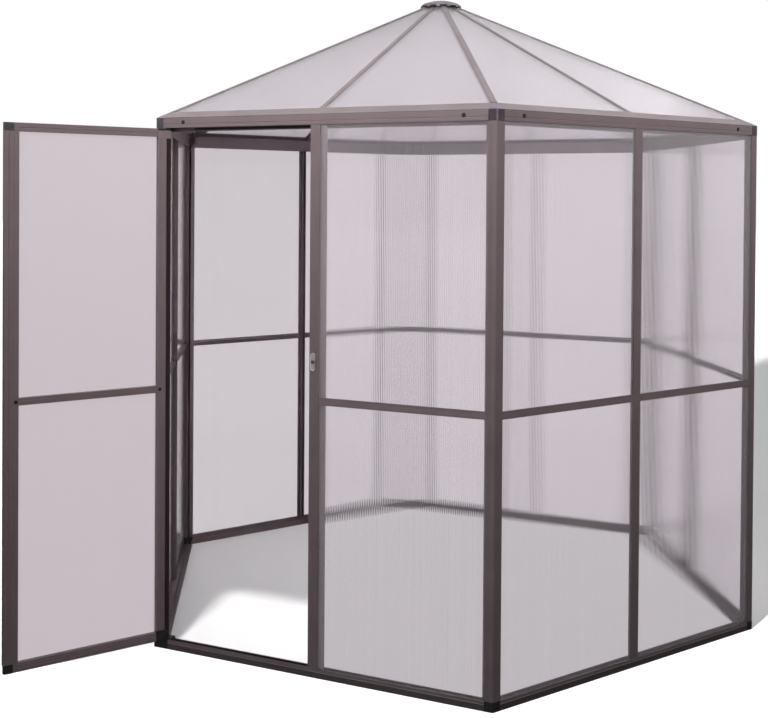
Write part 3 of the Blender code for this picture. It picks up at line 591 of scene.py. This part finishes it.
class GREENHOUSE_OT_mouldings(bpy.types.Operator):
    """Draw the base corner blocks, the eave corner caps and the door's corner plugs."""
    bl_idname = "greenhouse.mouldings"
    bl_label = "Corner mouldings"

    def execute(self, context):
        edge = context.scene.greenhouse_detail.edge
        for i in range(SIX):
            node = f"corner_post_{i + 1}"
            foot = slice_of(node, None, BLOCK_TOP - CUT_MARGIN)
            block = moulded(f"base_corner_block_{i + 1}", foot, BLOCK_ROUNDING * edge, "plastic")
            head = slice_of(node, CAP_LOW + CUT_MARGIN, None)
            for side, sign in ((i, 1), ((i - 1) % SIX, -1)):
                turn = wall_turn(side)
                way, across = aimed(turn, OUT), aimed(turn, ALONG * sign)
                end = max(vert.co.dot(across) for vert in head.verts) - CAP_GAP_SHADE
                split(head, across * end, across)
                for face in head.faces:
                    # faces that look straight out along a wall are painted darker as shade, and
                    # black at the fascia end as the shadow of the gap
                    if face.normal.dot(way) > FACING_STRAIGHT:
                        in_gap_shade = face.calc_center_median().dot(across) > end
                        face.material_index = 2 if in_gap_shade else 1
            cap = moulded(f"eave_corner_cap_{i + 1}", head, BLOCK_ROUNDING * edge,
                          "cap", "cap_wing", "plastic")
            for made in (block, cap):
                place(keep_inside(made, node), "frame", "black_plastic", node)
        for node in ("door_top_pivot", "door_bottom_pivot"):
            made = moulded(f"{node}_plug", cad_copy(node), PLUG_ROUNDING * edge, "plastic")
            place(made, "door", "black_plastic", node)
        turn = door_turn()
        back = turn.inverted()
        for node, head_finish in HEAD_PLUGS.items():
            low, high = local_box(node, turn)
            free = node == "door_latch_stile"
            seam = high.x - PLUG_WIDTH if free else low.x
            foot = slice_of(node, None, low.z + PLUG_FOOT - CUT_MARGIN)
            for vert in foot.verts:
                spot = back @ vert.co
                if free and spot.z < low.z + CORNER_NEAR and spot.x > high.x - CORNER_NEAR:
                    vert.co = turn @ (spot - ALONG * PLUG_CHAMFER)
            head = slice_of(node, high.z - PLUG_HEAD + CUT_MARGIN, None)
            for bm, name, colour in ((foot, "foot", "plastic"), (head, "head", head_finish)):
                split(bm, turn @ (ALONG * seam), aimed(turn, ALONG))
                for face in bm.faces:
                    face.material_index = (back @ face.calc_center_median()).x < seam
                made = moulded(f"{node}_{name}_plug", bm, PLUG_ROUNDING * edge, colour, "frame")
                place(made, "door", "black_plastic", node)
        return {"FINISHED"}


# Glazing

FIT = 0.0003                # half the gap that each bar leaves round a sheet
SHEET = 0.0040              # thickness of a sheet
MID_RAIL = 0.8850           # height of the mid rails' middle
RAIL_SLOT = 0.0013          # half the slot that a rail's or rafter's web takes
ARM = HALF_SIDE - 0.0289    # where a wall sheet is notched for the corner mouldings
NOTCH_LOW = BASE_HEIGHT + 0.0009
NOTCH_HIGH = EAVE_BOTTOM - 0.0006
ROOF_RISE = 0.525
ROOF_SLOPE = math.atan2(ROOF_RISE, APOTHEM)
EAVE_HEIGHT = EAVE_BOTTOM + 0.0353      # where the roof's surface meets the walls' faces
ROOF_SKIN = 0.0019          # from the roof's surface to its sheets
ROOF_TOP_GAP = 0.0030       # from a roof sheet's upper edge to the end of its node
HIP_SLOT = 0.0030           # from the hip's middle line to the sheet's edge
CLEAR_SHARE = 0.01          # least distance of a column from the sheet's edge, in columns
SIDES = (("left", -1), ("right", 1))


def fluted_sheet(name, kind, left, right, low, high, put, breaks=()):
    """A closed sheet of a kind of plastic, whose skins sink a little between the webs.

    low and high give the sheet's two ends at a place across it, and put turns
    (across, along, depth from the middle of its thickness) into a point.
    """
    detail = bpy.context.scene.greenhouse_detail
    step = detail.flute_pitch / detail.flute_steps
    first = math.ceil(left / step + CLEAR_SHARE)
    last = math.floor(right / step - CLEAR_SHARE)
    columns = [left] + [step * i for i in range(first, last + 1)] + [right]
    for spot in breaks:
        columns += [spot - FIT / 3, spot + FIT / 3]
    bm = bmesh.new()
    sheet_map = bm.loops.layers.uv.new("sheet")
    spots = {}
    rows = []
    for across in sorted(set(columns)):
        sink = detail.flute_depth * (1 - math.cos(2 * math.pi * across / detail.flute_pitch)) / 2
        half = SHEET / 2 - sink
        start, end = low(across), high(across)
        rows.append([bm.verts.new(put(across, along, depth)) for along, depth in
                     ((start, -half), (end, -half), (end, half), (start, half))])
        for vert, along in zip(rows[-1], (start, end, end, start)):
            spots[vert] = (across / detail.flute_pitch, along)
    for one, two in zip(rows, rows[1:]):
        for i in range(4):
            j = (i + 1) % 4
            bm.faces.new((one[i], two[i], two[j], one[j]))
    bm.faces.new(rows[0])
    bm.faces.new(rows[-1][::-1])
    bmesh.ops.recalc_face_normals(bm, faces=bm.faces)
    for face in bm.faces:
        for loop in face.loops:
            loop[sheet_map].uv = spots[loop.vert]
    made = plain_object(name, bm, kind)
    made.data.shade_smooth()
    made.data.set_sharp_from_angle(angle=SHARP)
    return made


class GREENHOUSE_OT_wall_glazing(bpy.types.Operator):
    """Draw the fluted upper and lower sheets of the six walls."""
    bl_idname = "greenhouse.wall_glazing"
    bl_label = "Wall sheets"

    def execute(self, context):
        for index in range(SIX):
            node = f"wall_panes_{index + 1}"
            turn = wall_turn(index)
            low, high = local_box(node, turn)
            middle = (low.y + high.y) / 2
            for side, sign in SIDES if index else SIDES[1:]:    # the doorway has no sheets
                for level, bottom, top in (("lower", low.z, MID_RAIL - RAIL_SLOT),
                                           ("upper", MID_RAIL + RAIL_SLOT, high.z)):
                    made = fluted_sheet(
                        f"{level}_sheet_{index + 1}_{side}", "wall_sheet", RAIL_SLOT, high.x,
                        lambda u: max(bottom, NOTCH_LOW) if u > ARM else bottom,
                        lambda u: min(top, NOTCH_HIGH) if u > ARM else top,
                        lambda u, z, depth: turn @ Vector((sign * u, middle + depth, z)), (ARM,))
                    place(made, "frame", "twin_wall_sheet", node)
        return {"FINISHED"}


def on_roof(u, a, below):
    """Point of the door side's roof: along the eave, up the slope, under the surface."""
    cos, sin = math.cos(ROOF_SLOPE), math.sin(ROOF_SLOPE)
    return Vector((u, CENTRE.y - APOTHEM + a * cos + below * sin,
                   EAVE_HEIGHT + a * sin - below * cos))


class GREENHOUSE_OT_roof_glazing(bpy.types.Operator):
    """Draw the two fluted sheets of each side of the roof."""
    bl_idname = "greenhouse.roof_glazing"
    bl_label = "Roof sheets"

    def execute(self, context):
        low, high = local_box("roof_panes_1", wall_turn(0))
        cos = math.cos(ROOF_SLOPE)
        foot = (low.y - FRONT_FACE) / cos + ROOF_SKIN
        top = (high.y - FRONT_FACE) / cos - ROOF_TOP_GAP

        def hip_end(u):
            """Where the column at u meets the hip, up the slope."""
            line = (HALF_SIDE - u - HIP_SLOT / SIN60) * TAN60 / cos
            return max(foot + SHEET, min(top, line))

        for index in range(SIX):
            turn = wall_turn(index)
            for side, sign in SIDES:
                made = fluted_sheet(
                    f"roof_sheet_{index + 1}_{side}", "roof_sheet", RAIL_SLOT, high.x,
                    lambda u: foot, hip_end,
                    lambda u, a, depth: turn @ on_roof(sign * u, a, ROOF_SKIN + SHEET / 2 + depth))
                place(made, "frame", "twin_wall_sheet", f"roof_panes_{index + 1}")
        return {"FINISHED"}


class GREENHOUSE_OT_door_glazing(bpy.types.Operator):
    """Draw the two fluted sheets of the door."""
    bl_idname = "greenhouse.door_glazing"
    bl_label = "Door sheets"

    def execute(self, context):
        turn = door_turn()
        for level in ("lower", "upper"):
            node = f"door_{level}_pane"
            low, high = local_box(node, turn)
            middle = (low.y + high.y) / 2
            made = fluted_sheet(
                f"door_{level}_sheet", "door_sheet", low.x, high.x,
                lambda u: low.z, lambda u: high.z,
                lambda u, z, depth: turn @ Vector((u, middle + depth, z)))
            place(made, "door", "twin_wall_sheet", node)
        return {"FINISHED"}


# Crown, latch, door seal and the dark bands painted as shade

CROWN_ROUNDING = 0.0012
RIM_NEAR = 0.0001               # points this near the crown's greatest reach are on its rim
RIM_SHADE_BAND = (0.0008, 0.0052)     # half the width and the height of the black band under the rim, painted shadow
BLUNT = 40.0                    # edges of the latch that turn less, in degrees, aren't rounded
PLATE_ROUNDING = 0.0006
PIVOT_ROUNDING = 0.0004
DISH_RIM = 0.0022
DISH_DEPTH = 0.0014
SEAL_ROUNDING = 0.0003
LEG_FRONT = 0.0243              # inner leg of the eave rail, behind the wall's face
HEAD_SEAL_AND_SHADE = ((0, -0.0008), (-0.0022, -0.0008), (-0.0022, -0.00525), (-0.0011, -0.0075),
             (0, -0.0075))      # section of the seal over the door, whose black is also painted shade under the fascia: depth and height
HEAD_SEAL_AND_SHADE_INSET = (0.110, -0.0200)
HINGE_SHADE_ROUNDING = 0.0002
HINGE_SHADE_SECTION = ((0, 0), (0, 0.00048), (0.00775, 0.0008), (0.0155, 0.00048),
          (0.0155, 0))          # section of the dark strip on the hinge stile, painted shade: width and height
HINGE_SHADE_INSET = 0.0008


class GREENHOUSE_OT_crown(bpy.types.Operator):
    """Draw the moulded cap at the top of the roof and a black band under its lobed rim, painted as
    the rim's shadow.
    """
    bl_idname = "greenhouse.crown"
    bl_label = "Roof crown"

    def execute(self, context):
        bm = cad_copy("roof_crown")
        flat = {vert: (vert.co - CENTRE).to_2d() for vert in bm.verts}
        reach = max(spot.length for spot in flat.values())
        rim = {}
        for vert, spot in flat.items():
            if spot.length > reach - RIM_NEAR:
                turn = round(math.degrees(math.atan2(spot.y, spot.x)) % 360, 1)
                rim[turn] = min(rim.get(turn, vert.co.z), vert.co.z)
        made = moulded("roof_crown_cap", bm, CROWN_ROUNDING, "crown")
        place(made, "frame", "black_plastic", "roof_crown")
        # a black band under the rim, painted as the rim's shadow
        wide, tall = RIM_SHADE_BAND
        rings = []
        for turn, z in sorted(rim.items()):
            way = Vector((math.cos(math.radians(turn)), math.sin(math.radians(turn)), 0))
            rings.append([CENTRE + way * (reach + out) + UP * (z + rise) for out, rise in
                          ((-wide, 0), (wide, 0), (wide, tall), (-wide, tall))])
        made = plain_object("roof_crown_rim_shade", skin(rings, closed=True), "plastic")
        place(soften(made, SEAL_ROUNDING), "frame", "black_plastic")
        return {"FINISHED"}


class GREENHOUSE_OT_latch(bpy.types.Operator):
    """Draw the turn latch's dished plate and the screw that it turns on."""
    bl_idname = "greenhouse.latch"
    bl_label = "Turn latch"

    def execute(self, context):
        bm = cad_copy("turn_latch")
        dish = [face for face in bm.faces if face.normal.dot(OUT) > FACING]
        bmesh.ops.inset_region(bm, faces=dish, thickness=DISH_RIM, use_even_offset=True)
        bmesh.ops.translate(bm, vec=-OUT * DISH_DEPTH,
                            verts=list({vert for face in dish for vert in face.verts}))
        # the dish's floor is painted darker, as shade in the hollow
        for face in dish:
            face.material_index = 1
        plate = moulded("turn_latch_plate", bm, PLATE_ROUNDING, "steel", "matt_steel",
                        angle=BLUNT)
        place(plate, "latch", "bright_steel", "turn_latch")
        pivot = moulded("latch_pivot_screw", cad_copy("latch_pivot"), PIVOT_ROUNDING,
                        "dark_steel", angle=BLUNT)
        place(pivot, "frame", "bright_steel", "latch_pivot")
        return {"FINISHED"}


class GREENHOUSE_OT_seal_and_shade_strips(bpy.types.Operator):
    """Draw the black seal over the door, whose black is also painted shade under the fascia, and a
    dark strip along its hinge stile, painted as the shade of the corner post behind it.
    """
    bl_idname = "greenhouse.seals"
    bl_label = "Door seals"

    def execute(self, context):
        # a black seal over the door, whose black also serves as painted shade under the fascia
        low = local_box("eave_rail_1", Matrix())[0]
        rings = [[(u, FRONT_FACE + LEG_FRONT + depth, EAVE_BOTTOM + rise)
                  for depth, rise in HEAD_SEAL_AND_SHADE]
                 for u in (low.x + HEAD_SEAL_AND_SHADE_INSET[0], HEAD_SEAL_AND_SHADE_INSET[1])]
        made = plain_object("door_head_seal_and_shade", skin(rings), "plastic")
        place(soften(made, SEAL_ROUNDING), "frame", "black_plastic")
        # a dark strip on the hinge stile, painted as the shade of the corner post behind it
        turn = door_turn()
        low, high = local_box("door_hinge_stile", turn)
        rings = [[turn @ Vector((low.x + HINGE_SHADE_INSET + u, high.y + depth, z))
                  for u, depth in HINGE_SHADE_SECTION]
                 for z in (low.z + PLUG_FOOT, high.z - PLUG_HEAD)]
        made = plain_object("door_hinge_shade_strip", skin(rings), "rubber")
        place(soften(made, HINGE_SHADE_ROUNDING), "door", "black_plastic")
        return {"FINISHED"}


# Screws

HEAD_SIDES = 20
HEAD_STEPS = ((0.55, 1.0), (0.45, 0.72), (0.0, 0.66), (-0.6, 0.9))  # rise in heights, narrowing
DOOR_SCREW_INSET = 0.0090
DOOR_SCREW_RADIUS = 0.0060
DOOR_SCREW_RISE = 0.7           # height of a door screw's head, in heights of a fascia screw's


def screw_tree(material):
    """Geometry Nodes: a pan head with a round recess on every point, facing its own way."""
    tree = bpy.data.node_groups.new("pan_head_screws", "GeometryNodeTree")
    face = tree.interface
    face.new_socket("Geometry", in_out="INPUT", socket_type="NodeSocketGeometry")
    sizes = [face.new_socket(label, in_out="INPUT", socket_type="NodeSocketFloat").identifier
             for label in ("Head Radius", "Head Height")]
    face.new_socket("Geometry", in_out="OUTPUT", socket_type="NodeSocketGeometry")
    start = add_node(tree, "NodeGroupInput")
    head = add_node(tree, "GeometryNodeMeshCircle", {
        "Vertices": HEAD_SIDES, "Radius": start["Head Radius"]}, fill_type="NGON")["Mesh"]
    picked = True
    for rise, spread in HEAD_STEPS:
        height = add_node(tree, "ShaderNodeMath", {0: start["Head Height"], 1: rise},
                          operation="MULTIPLY")[0]
        pull = add_node(tree, "GeometryNodeExtrudeMesh", {
            "Mesh": head, "Selection": picked, "Offset Scale": height}, mode="FACES")
        picked = pull["Top"]
        head = add_node(tree, "GeometryNodeScaleElements", {
            "Geometry": pull["Mesh"], "Selection": picked, "Scale": spread})["Geometry"]
    facing = add_node(tree, "GeometryNodeInputNamedAttribute", {"Name": "facing"},
                      data_type="FLOAT_VECTOR")["Attribute"]
    turn = add_node(tree, "FunctionNodeAlignRotationToVector", {"Vector": facing})["Rotation"]
    points = add_node(tree, "GeometryNodeMeshToPoints", {"Mesh": start["Geometry"]})["Points"]
    heads = add_node(tree, "GeometryNodeInstanceOnPoints", {
        "Points": points, "Instance": head, "Rotation": turn})["Instances"]
    real = add_node(tree, "GeometryNodeRealizeInstances", {"Geometry": heads})["Geometry"]
    paint = add_node(tree, "GeometryNodeSetMaterial", {"Geometry": real, "Material": material})
    add_node(tree, "NodeGroupOutput", {"Geometry": paint["Geometry"]})
    return tree, sizes


def screws(name, spots, radius, height):
    """Screw heads at (place, facing) spots, as one plain mesh."""
    mesh = bpy.data.meshes.new(name)
    mesh.from_pydata([tuple(spot) for spot, _ in spots], [], [])
    facing = mesh.attributes.new("facing", "FLOAT_VECTOR", "POINT")
    for i, (_, way) in enumerate(spots):
        facing.data[i].vector = way
    made = bpy.data.objects.new(name, mesh)
    bpy.context.scene.collection.objects.link(made)
    heads = made.modifiers.new("heads", "NODES")
    heads.node_group, sizes = screw_tree(finish("screw"))
    for size, value in zip(sizes, (radius, height)):
        heads[size] = value
    bake_modifiers(made)
    made.data.shade_smooth()
    made.data.set_sharp_from_angle(angle=SHARP)
    return made


class GREENHOUSE_OT_screws(bpy.types.Operator):
    """Put the screws into the fascia and into the door's middle rail."""
    bl_idname = "greenhouse.screws"
    bl_label = "Screws"

    def execute(self, context):
        detail = context.scene.greenhouse_detail
        spots = []
        for index in range(SIX):
            spots += fascia_screw_spots(index, detail.screw_height + POCKET_ROOM)
        made = screws("fascia_screws", spots, detail.screw_radius, detail.screw_height)
        place(made, "frame", "black_plastic")
        turn = door_turn()
        low, high = local_box("door_mid_rail", turn)
        spots = [(turn @ Vector((u, face, (low.z + high.z) / 2)), aimed(turn, way))
                 for face, way in ((low.y, OUT), (high.y, -OUT))
                 for u in (low.x - DOOR_SCREW_INSET, high.x + DOOR_SCREW_INSET)]
        made = screws("door_screws", spots, DOOR_SCREW_RADIUS,
                      DOOR_SCREW_RISE * detail.screw_height)
        place(made, "door", "black_plastic")
        return {"FINISHED"}


# Stage

FLOOR_REACH = 60            # half the width of the floor
FLOOR_LEVEL = -0.0008       # height of the floor round the greenhouse
FLOOR_LEVEL_INSIDE = -0.0003
FLOOR_SEAM = 0.020          # the inner floor ends under the base rails
FLOOR_SEEN = 0.95           # floor colour that the camera sees round the greenhouse
FLOOR_SEEN_INSIDE = 0.60    # the same inside it
BEHIND_TINT = (1.0, 0.965, 0.990)   # what the sheets let through, floor and sky alike
SHINE_LOW = math.radians(8)     # the reflected sky grows brighter between these heights
SHINE_HIGH = math.radians(42)
SUNS = (                    # name, property with its strength, angle, direction, lit floor
    ("floor_fill_around", "fill", 10, (0, 0, -1), "floor_around"),
    ("floor_fill_inside", "fill", 10, (0, 0, -1), "floor_inside"),
    ("floor_high_light", "high", 4, (-0.073, 0.325, -0.943), "floor_inside"),
    ("floor_low_light", "low", 3, (0.196, 0.970, -0.145), "floor_around"))
SOFTBOX_SIZE = (2.4, 1.2)
SOFTBOX_SPOT = Vector((0, -3.3, 3.5))       # from the greenhouse's middle, before its turn
SOFTBOX_SPREAD = math.radians(54)
BACK_BARS = tuple(f"{stem}_{i}_bar" for stem in ("base_rail", "eave_rail", "mullion", "corner_post")
                  for i in (3, 4, 5, 6) if (stem, i) != ("corner_post", 3))
SOFTBOXES = {               # turn round the greenhouse, share of the power, aim, pieces kept dark
    "front": (-8, 0.64, (0, -1.0, 2.05), BACK_BARS),
    "right": (75, 0.95, (0, -1.0, 1.95), ()),
    "back": (185, 0.24, (0, -1.0, 2.05), ()),
    "left": (-95, 0.60, (0, -1.0, 2.05), ("roof_sheet_",)),
    "door": (8, 0.55, (-1.6, -1.45, 1.75), BACK_BARS)}
PICTURE_WIDTH = 768
PICTURE_HEIGHT = 718
SENSOR = 36.0
CLIP_END = 200
VIEW_FROM = Vector((1.75737, -3.32053, 1.52409))
VIEW_YAW = 1.99793
VIEW_PITCH = -0.01206
VIEW_ROLL = 0.00685
VIEW_CENTRE = (388.34, 215.0)   # pixel of the picture that the camera's axis meets


def floor_paint(name, seen, behind):
    """Pale matt floor: white to the camera, with the shadows on it, and plain behind the sheets."""
    board = NodeBoard(name, roughness=0.9, specular_ior_level=0.1)
    path = board.add("ShaderNodeLightPath")
    board.feed(board.add("ShaderNodeMixRGB", {
        "Fac": path["Is Camera Ray"], "Color2": (seen, seen, seen, 1),
        "Color1": (*bpy.context.scene.greenhouse_stage.floor, 1)})["Color"], "Base Color")
    glow = board.add("ShaderNodeEmission", {"Color": (*BEHIND_TINT, 1), "Strength": behind})
    mix = board.add("ShaderNodeMixShader", {
        0: path["Is Transmission Ray"], 1: board.shader.outputs["BSDF"], 2: glow["Emission"]})
    output = board.tree.nodes["Material Output"]
    board.tree.links.new(mix["Shader"], output.inputs["Surface"])
    return board.material


def lay_floor(name, bm, seen, behind):
    """A floor and the collection of the lights that fall on it alone."""
    floor = plain_object(name, bm)
    floor.data.materials.append(floor_paint(name, seen, behind))
    lit = bpy.data.collections.new(f"light_on_{name}")
    lit.objects.link(floor)
    return lit


def studio_world(stage):
    """Even light, with its own strength for mirrors, for sheets and for the camera."""
    world = bpy.data.worlds.new("studio")
    world.use_nodes = True
    tree = world.node_tree
    tree.nodes.clear()
    path = add_node(tree, "ShaderNodeLightPath")
    spot = add_node(tree, "ShaderNodeTexCoord")["Generated"]
    shine = add_node(tree, "ShaderNodeMapRange", {
        "Value": add_node(tree, "ShaderNodeSeparateXYZ", {0: spot})["Z"],
        "From Min": math.sin(SHINE_LOW), "From Max": math.sin(SHINE_HIGH),
        "To Min": stage.shine, "To Max": stage.shine_above})["Result"]
    shader = None
    for ray, strength, colour in ((None, stage.sky, WHITE), ("Is Glossy Ray", shine, WHITE),
                                  ("Is Transmission Ray", stage.behind, BEHIND_TINT),
                                  ("Is Camera Ray", 1.0, WHITE)):
        light = add_node(tree, "ShaderNodeBackground", {"Color": (*colour, 1),
                                                        "Strength": strength})[0]
        shader = add_node(tree, "ShaderNodeMixShader", {
            0: path[ray], 1: shader, 2: light})[0] if ray else light
    add_node(tree, "ShaderNodeOutputWorld", {"Surface": shader})
    return world


def lamp(name, kind, way, receivers, **settings):
    """A lamp that shines along a direction, on the receivers as their collection says."""
    light = bpy.data.lights.new(name, kind)
    for key, value in settings.items():
        setattr(light, key, value)
    holder = bpy.data.objects.new(name, light)
    holder.rotation_euler = way.to_track_quat("-Z", "Y").to_euler()
    bpy.context.scene.collection.objects.link(holder)
    holder.light_linking.receiver_collection = receivers
    return holder


class GREENHOUSE_OT_stage(bpy.types.Operator):
    """Set up the floor, the lamps, the sky and the camera."""
    bl_idname = "greenhouse.stage"
    bl_label = "Floor, light and camera"

    def execute(self, context):
        scene = context.scene
        stage = scene.greenhouse_stage
        bm = bmesh.new()
        bmesh.ops.create_grid(bm, x_segments=2, y_segments=2, size=FLOOR_REACH,
                              matrix=Matrix.Translation(UP * FLOOR_LEVEL))
        around = lay_floor("floor_around", bm, FLOOR_SEEN, stage.behind)
        bm = bmesh.new()
        reach = (APOTHEM - FLOOR_SEAM) / SIN60
        bm.faces.new([bm.verts.new(CENTRE + Vector((
            reach * math.cos(math.radians(60 * i)), reach * math.sin(math.radians(60 * i)),
            FLOOR_LEVEL_INSIDE))) for i in range(SIX)])
        inside = lay_floor("floor_inside", bm, FLOOR_SEEN_INSIDE, stage.behind_floor)
        scene.world = studio_world(stage)

        for name, strength, angle, way, floor in SUNS:
            lamp(name, "SUN", Vector(way), around if floor == "floor_around" else inside,
                 energy=getattr(stage, strength), angle=math.radians(angle),
                 use_shadow="fill" not in name)
        for side, (angle, share, aim, shielded) in SOFTBOXES.items():
            kept = bpy.data.collections.new(f"kept_from_softbox_{side}")
            turn = Matrix.Rotation(math.radians(angle), 4, "Z")
            holder = lamp(f"softbox_{side}", "AREA", turn @ (Vector(aim) - SOFTBOX_SPOT), kept,
                          shape="RECTANGLE", size=SOFTBOX_SIZE[0], size_y=SOFTBOX_SIZE[1],
                          energy=stage.key * share, spread=SOFTBOX_SPREAD)
            holder.location = CENTRE + turn @ SOFTBOX_SPOT
            holder.visible_glossy = side == "front"
            for item in scene.objects:
                if item.name.startswith(("floor_around", "floor_inside", *shielded)):
                    kept.objects.link(item)
            for entry in kept.collection_objects:
                entry.light_linking.link_state = "EXCLUDE"

        ahead = Vector((math.cos(VIEW_YAW) * math.cos(VIEW_PITCH),
                        math.sin(VIEW_YAW) * math.cos(VIEW_PITCH), math.sin(VIEW_PITCH)))
        right = ahead.cross(UP).normalized()
        up = right.cross(ahead)
        across = math.cos(VIEW_ROLL) * right + math.sin(VIEW_ROLL) * up
        above = math.cos(VIEW_ROLL) * up - math.sin(VIEW_ROLL) * right
        lens = bpy.data.cameras.new("camera")
        lens.sensor_width = SENSOR
        lens.sensor_fit = "HORIZONTAL"
        lens.lens = stage.focal / PICTURE_WIDTH * SENSOR
        lens.shift_x = (PICTURE_WIDTH / 2 - VIEW_CENTRE[0]) / PICTURE_WIDTH
        lens.shift_y = (VIEW_CENTRE[1] - PICTURE_HEIGHT / 2) / PICTURE_WIDTH
        lens.clip_end = CLIP_END
        camera = bpy.data.objects.new("camera", lens)
        turn = Matrix((across, above, -ahead)).transposed().to_4x4()
        camera.matrix_world = Matrix.Translation(VIEW_FROM) @ turn
        scene.collection.objects.link(camera)
        scene.camera = camera
        scene.view_settings.view_transform = "Standard"
        return {"FINISHED"}


# Panel and run

GROUPS = (GreenhouseFinish, GreenhouseDetail, GreenhouseStage)
STEPS = (GREENHOUSE_OT_bars, GREENHOUSE_OT_mouldings, GREENHOUSE_OT_wall_glazing,
         GREENHOUSE_OT_roof_glazing, GREENHOUSE_OT_door_glazing, GREENHOUSE_OT_crown,
         GREENHOUSE_OT_latch, GREENHOUSE_OT_seal_and_shade_strips, GREENHOUSE_OT_screws, GREENHOUSE_OT_stage)


class GREENHOUSE_PT_panel(bpy.types.Panel):
    """Lists the pieces and what may be changed."""
    bl_idname = "GREENHOUSE_PT_panel"
    bl_label = "Greenhouse"
    bl_space_type = "VIEW_3D"
    bl_region_type = "UI"
    bl_category = "Greenhouse"

    def draw(self, context):
        scene = context.scene
        for group in (scene.greenhouse_finish, scene.greenhouse_detail, scene.greenhouse_stage):
            box = self.layout.box()
            for name in group.bl_rna.properties.keys():
                if name not in ("rna_type", "name"):
                    box.prop(group, name)
        for step in STEPS:
            self.layout.operator(step.bl_idname)


def register():
    for made in GROUPS + STEPS + (GREENHOUSE_PT_panel,):
        bpy.utils.register_class(made)
    bpy.types.Scene.greenhouse_finish = PointerProperty(type=GreenhouseFinish)
    bpy.types.Scene.greenhouse_detail = PointerProperty(type=GreenhouseDetail)
    bpy.types.Scene.greenhouse_stage = PointerProperty(type=GreenhouseStage)


def unregister():
    del bpy.types.Scene.greenhouse_finish
    del bpy.types.Scene.greenhouse_detail
    del bpy.types.Scene.greenhouse_stage
    for made in (GREENHOUSE_PT_panel,) + STEPS[::-1] + GROUPS[::-1]:
        bpy.utils.unregister_class(made)


def main():
    register()
    bpy.ops.greenhouse.bars()
    bpy.ops.greenhouse.mouldings()
    bpy.ops.greenhouse.wall_glazing()
    bpy.ops.greenhouse.roof_glazing()
    bpy.ops.greenhouse.door_glazing()
    bpy.ops.greenhouse.crown()
    bpy.ops.greenhouse.latch()
    bpy.ops.greenhouse.seals()
    bpy.ops.greenhouse.screws()
    bpy.ops.greenhouse.stage()


if __name__ == "__main__":
    main()
